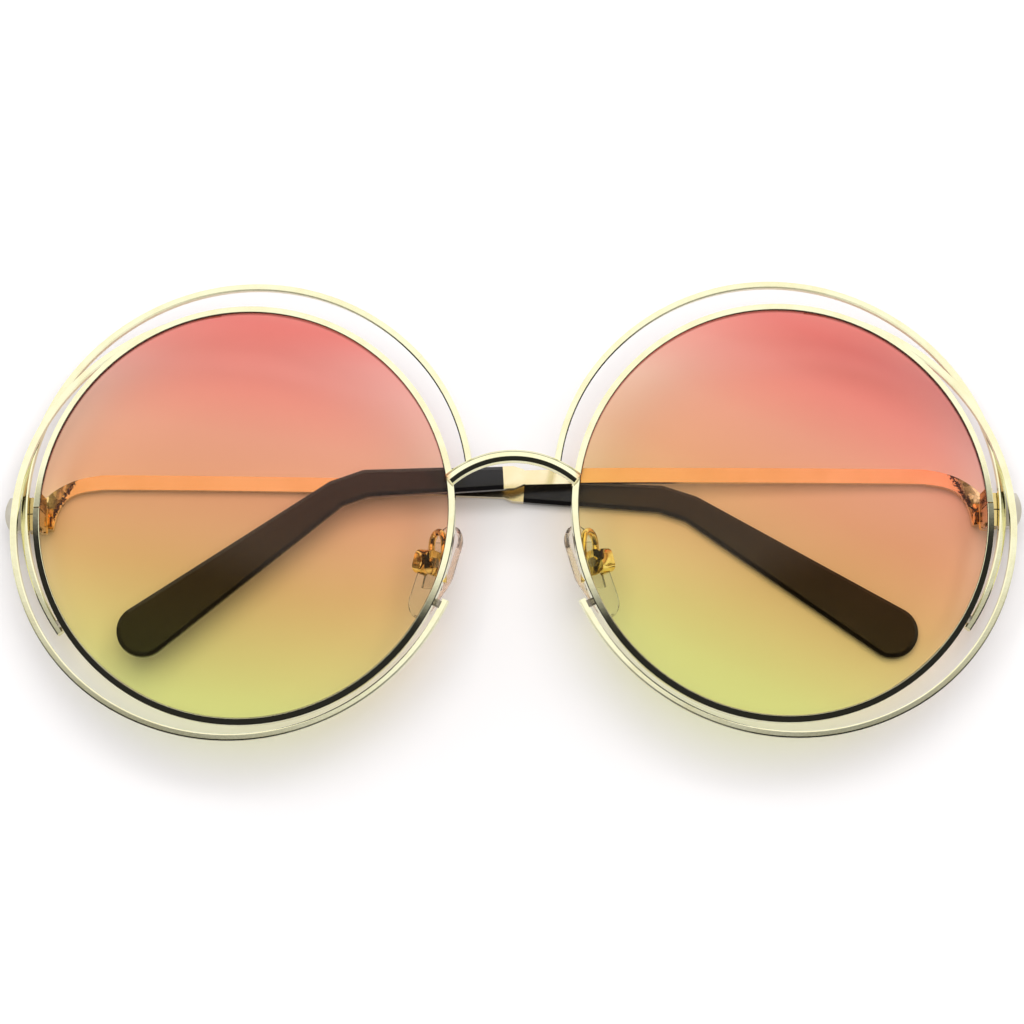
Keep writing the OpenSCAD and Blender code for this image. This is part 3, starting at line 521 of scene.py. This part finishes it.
metal = plated("deep_gold_plate", DEEP_GOLD, DEEP_GOLD_HAZY, polish=0.06, haze=0.06, patch_scale=500.0)
tree = metal.tree
wavy = add(tree, "ShaderNodeTexNoise", {"Scale": WAVE_SCALE, "Detail": 0.0})
join(tree, metal.place, wavy.inputs["Vector"])
wavy_bump = add(tree, "ShaderNodeBump", {"Strength": 1.0, "Distance": WAVE_HEIGHT})
join(tree, wavy.outputs["Fac"], wavy_bump.inputs["Height"])
join(tree, wavy_bump.outputs["Normal"], metal.skin.inputs["Normal"])
castings = both("pad_arm") + both("front_hinge_knuckles") + both("temple_hinge_knuckle")
dress(castings, metal.material)
print("deep gold on", len(castings), "pieces")

# %% [markdown]
# ## The temples
# Each temple is a flat band, plated in pale gold, with a cast end at the hinge. The cast end is soldered on:
# its face is hammered by hand into small facets, and a dark ragged line of flux marks where it meets the
# band. Modelling each facet would be slow, and no two temples would match. Here the mask for the end is a
# slanting line across the temple, pushed to and fro by a noise so that the seam looks ragged. Voronoi cells
# give the facets, through a Bump node, and give each facet a painted reflection, from near black to pale
# gold.

# %% Temples
TEMPLE_GOLD = (0.85, 0.74, 0.49, 1)
TEMPLE_GOLD_HAZY = (0.83, 0.7, 0.43, 1)
# Painted reflection: each hammered facet gets a tone between these two, as if it mirrored the dark room or
# the white tent.
FACET_DARK_REFLECTION = (0.2, 0.17, 0.05, 1)
FACET_PALE_REFLECTION = (1.0, 0.97, 0.62, 1)
FLUX_BROWN = (0.1, 0.045, 0.02, 1)
# The seam's places and widths are in metres, and its slant is a rise in x for each metre down in y.
SEAM_SLANT = 0.6
SEAM_PLACE = 0.06978
SEAM_RAGGED = 0.0022
SEAM_SOFT = 0.0001
FLUX_EDGE = (0.00025, 0.0004)
FACET_SCALE = 1300.0
FACET_DEPTH = 0.0003

metal = plated("temple_plate", TEMPLE_GOLD, TEMPLE_GOLD_HAZY, polish=0.12, haze=0.06, skin_depth=None)
tree = metal.tree
spot = add(tree, "ShaderNodeSeparateXYZ")
join(tree, metal.place, spot.inputs[0])
outward = maths(tree, "ABSOLUTE", spot.outputs["X"], 0)
slanted = maths(tree, "ADD", outward, maths(tree, "MULTIPLY", spot.outputs["Y"], SEAM_SLANT))
ragged = add(tree, "ShaderNodeTexNoise", {"Scale": 2 * FACET_SCALE, "Detail": 3.0})
join(tree, metal.place, ragged.inputs["Vector"])
to_and_fro = maths(tree, "SUBTRACT", ragged.outputs["Fac"], 0.5)
shake = maths(tree, "MULTIPLY", to_and_fro, SEAM_RAGGED)
seam_distance = maths(tree, "ADD", maths(tree, "SUBTRACT", slanted, SEAM_PLACE), shake)
cast_end = step(tree, seam_distance, -SEAM_SOFT, SEAM_SOFT)

facets = add(tree, "ShaderNodeTexVoronoi", {"Scale": FACET_SCALE, "Randomness": 1.0})
join(tree, metal.place, facets.inputs["Vector"])
facet_tone_and_height = add(tree, "ShaderNodeSeparateColor")
join(tree, facets.outputs["Color"], facet_tone_and_height.inputs[0])
# Painted reflection on the cast end: a random tone for each facet, from near black to pale gold.
painted_facet_reflection = mixed(tree, facet_tone_and_height.outputs[0], FACET_DARK_REFLECTION, FACET_PALE_REFLECTION)
end_colour = mixed(tree, cast_end, metal.colour, painted_facet_reflection)
near_seam = step(tree, maths(tree, "ABSOLUTE", seam_distance, 0), *FLUX_EDGE, to_low=1.0, to_high=0.0)
join(tree, mixed(tree, near_seam, end_colour, FLUX_BROWN), metal.shader.inputs["Base Color"])

facet_bump = add(tree, "ShaderNodeBump", {"Strength": 1.0, "Distance": FACET_DEPTH})
join(tree, maths(tree, "MULTIPLY", facet_tone_and_height.outputs[1], cast_end), facet_bump.inputs["Height"])
join(tree, facet_bump.outputs["Normal"], metal.shader.inputs["Normal"])
dress(both("temple"), metal.material)
print("temples dressed, seam at", 1000 * SEAM_PLACE, "mm")

# %% [markdown]
# ## The dark tips
# The ends of the temples wear sleeves of a brown-black plastic, moulded smooth. A plain black shader would
# look like a hole in the picture. The base is nearly black, so almost all that is seen of a sleeve is its
# soft reflection: pale on the flat top, darker on the bevels. The haze group makes that reflection a little
# uneven, as on a sleeve that has been handled.

# %% Tips
BROWN_BLACK = (0.006, 0.0055, 0.006, 1)
BROWN_BLACK_HANDLED = (0.011, 0.009, 0.009, 1)

tip_plastic, tree, shader = new_finish("dark_tip_plastic", Specular_IOR_Level=0.38, IOR=1.49)
place = add(tree, "ShaderNodeTexCoord").outputs["Object"]
skin_tone = use_group(tree, haze_group, Clean_Colour=BROWN_BLACK, Hazy_Colour=BROWN_BLACK_HANDLED,
                      Patch_Scale=80.0, Polished_Roughness=0.2, Haze=0.04)
join(tree, place, skin_tone.inputs["Place"])
join(tree, skin_tone.outputs["Colour"], shader.inputs["Base Color"])
join(tree, skin_tone.outputs["Roughness"], shader.inputs["Roughness"])
grained(tree, shader, place, 3000.0, SKIN_DEPTH)
dress(both("temple_tip"), tip_plastic)
print("tip length", round(1000 * nodes["right_temple_tip"].dimensions.x, 1), "mm across")

# %% [markdown]
# ## The lenses
# A dip-dyed lens: the longer a height stays in the dye bath, the deeper its tint. Coral at the top runs
# through peach and tan to a yellow green at the bottom, with a second dip along the brow. Light crosses the
# lens twice, down to the table and back, so the tint of one pass is paler than what the eye sees. The last
# half millimetre of the upper edge, where the lens meets the rim's groove, gets a painted shade: a dark
# maroon line that stands for the shadow and the dark reflection in the groove.
# A round lens can turn in its rim while the rim is closed on it, and the photograph shows that both have:
# the tint runs a little aslant, more in the right one. So each lens gets its own turn.
# A picture of the tint would need a file. A colour ramp along a slanting line does the same with seven stops.
# The shader is clear glass with that tint. The shadow of real glass would be black in a path tracer with few
# samples, so for shadow rays alone a transparent shader with the same tint takes over.

# %% Lenses
# Heights over the middle of the eye, in millimetres, each with the tint of one pass.
TINTS = [
    (-28.0, (0.885, 0.925, 0.495)), (-20.0, (0.900, 0.850, 0.465)), (-10.0, (0.915, 0.730, 0.415)),
    (2.0, (0.935, 0.625, 0.420)), (11.0, (0.960, 0.640, 0.490)), (21.0, (0.980, 0.540, 0.470)),
    (29.0, (0.930, 0.350, 0.320)),
]
LOWEST, HIGHEST = -32.0, 31.0
SECOND_DIP = (0.985, 0.78, 0.74, 1)
# Heights over the middle of the eye, and for the ring distances from it, in metres.
SECOND_DIP_EDGE = (0.020, 0.028)
# Painted shade of the rim's groove: a dark maroon on a thin ring at the lens's upper edge.
GROOVE_SHADE_PAINT = (0.4, 0.1, 0.07, 1)
GROOVE_SHADE_RING = (0.0300, 0.0303)
GROOVE_SHADE_FADES_IN = (-0.002, 0.01)


def let_shadow_rays_through(tree, shader, tint):
    """Shadow rays meet a transparent shader of this tint in place of the glass."""
    clear = add(tree, "ShaderNodeBsdfTransparent")
    join(tree, tint, clear.inputs["Color"])
    shadow_ray = add(tree, "ShaderNodeLightPath").outputs["Is Shadow Ray"]
    show(tree, choose(tree, shadow_ray, shader.outputs["BSDF"], clear.outputs["BSDF"]))


def dye_ramp(tree, along_dye):
    """The dye's colour at a height along its run, from the list of tints."""
    level = add(tree, "ShaderNodeMapRange", {"From Min": LOWEST * MM, "From Max": HIGHEST * MM})
    join(tree, along_dye, level.inputs["Value"])
    dye = add(tree, "ShaderNodeValToRGB")
    stops = dye.color_ramp.elements
    while len(stops) < len(TINTS):
        stops.new(0.5)
    for stop, (height, tint) in zip(stops, TINTS):
        stop.position = (height - LOWEST) / (HIGHEST - LOWEST)
        stop.color = (*tint, 1)
    join(tree, level.outputs["Result"], dye.inputs["Fac"])
    return dye.outputs["Color"]


def dyed_lens(name, middle_x, turn):
    """Clear glass with the dye's colours running down it and a painted shade at its top edge. Turn is how far
    the lens is turned in its rim.
    """
    material, tree, shader = new_finish(name, Roughness=0.0, IOR=1.5, Transmission_Weight=1.0,
                                        Specular_Tint=(0.25, 0.25, 0.25, 1))
    split = add(tree, "ShaderNodeSeparateXYZ")
    join(tree, add(tree, "ShaderNodeTexCoord").outputs["Object"], split.inputs[0])
    across = maths(tree, "SUBTRACT", split.outputs["X"], middle_x)
    upward = maths(tree, "SUBTRACT", split.outputs["Y"], eye_y)
    along_dye = maths(tree, "ADD", upward, maths(tree, "MULTIPLY", across, math.tan(turn)))

    at_brow = step(tree, upward, *SECOND_DIP_EDGE)
    dipped = mixed(tree, at_brow, dye_ramp(tree, along_dye), SECOND_DIP, "MULTIPLY")

    squares = [maths(tree, "MULTIPLY", part, part) for part in (across, upward)]
    from_middle = maths(tree, "SQRT", maths(tree, "ADD", *squares), 0)
    # Painted shade: a dark maroon ring at the lens's upper edge stands for the shadow in the rim's groove.
    ring = step(tree, from_middle, *GROOVE_SHADE_RING)
    painted_groove_shade = maths(tree, "MULTIPLY", ring, step(tree, upward, *GROOVE_SHADE_FADES_IN))
    colour = mixed(tree, painted_groove_shade, dipped, GROOVE_SHADE_PAINT)
    join(tree, colour, shader.inputs["Base Color"])
    half_tint = add(tree, "ShaderNodeGamma", {"Gamma": 0.5})
    join(tree, colour, half_tint.inputs["Color"])
    let_shadow_rays_through(tree, shader, half_tint.outputs["Color"])
    return material


dress(["left_lens"], dyed_lens("left_dip_dyed_lens", -eye_x, math.radians(11)))
dress(["right_lens"], dyed_lens("right_dip_dyed_lens", eye_x, math.radians(24)))
print("lens", round(1000 * nodes["left_lens"].dimensions.y, 1), "mm high,", len(TINTS), "tints")

# %% [markdown]
# ## The nose pads
# Soft clear silicone over a stiff clear plate. A see-through alpha would be quicker, but would lose the way
# the pad bends what lies behind it, so both are glass. Skin oils soften the surface of the silicone, and it
# bends light less than the plate inside, which stays just visible. Both let shadow rays through, as the
# lenses do.

# %% Nose pads
def clear_finish(name, tint, hazy_tint, roughness, bend):
    """A clear moulded material: tinted glass with a soft surface, and pale shadows."""
    material, tree, shader = new_finish(name, IOR=bend, Transmission_Weight=1.0)
    place = add(tree, "ShaderNodeTexCoord").outputs["Object"]
    cloud = use_group(tree, haze_group, Clean_Colour=tint, Hazy_Colour=hazy_tint, Patch_Scale=300.0,
                      Polished_Roughness=roughness, Haze=0.05)
    join(tree, place, cloud.inputs["Place"])
    join(tree, cloud.outputs["Colour"], shader.inputs["Base Color"])
    join(tree, cloud.outputs["Roughness"], shader.inputs["Roughness"])
    let_shadow_rays_through(tree, shader, cloud.outputs["Colour"])
    return material


SILICONE = (0.985, 0.98, 0.975, 1)
SILICONE_HAZY = (0.95, 0.945, 0.93, 1)
PLATE = (0.97, 0.97, 0.95, 1)
PLATE_HAZY = (0.94, 0.93, 0.91, 1)

dress(both("nose_pad"), clear_finish("clear_silicone", SILICONE, SILICONE_HAZY, roughness=0.12, bend=1.2))
dress(both("pad_insert"), clear_finish("clear_pad_plate", PLATE, PLATE_HAZY, roughness=0.08, bend=1.3))
print("pads dressed:", both("nose_pad"))
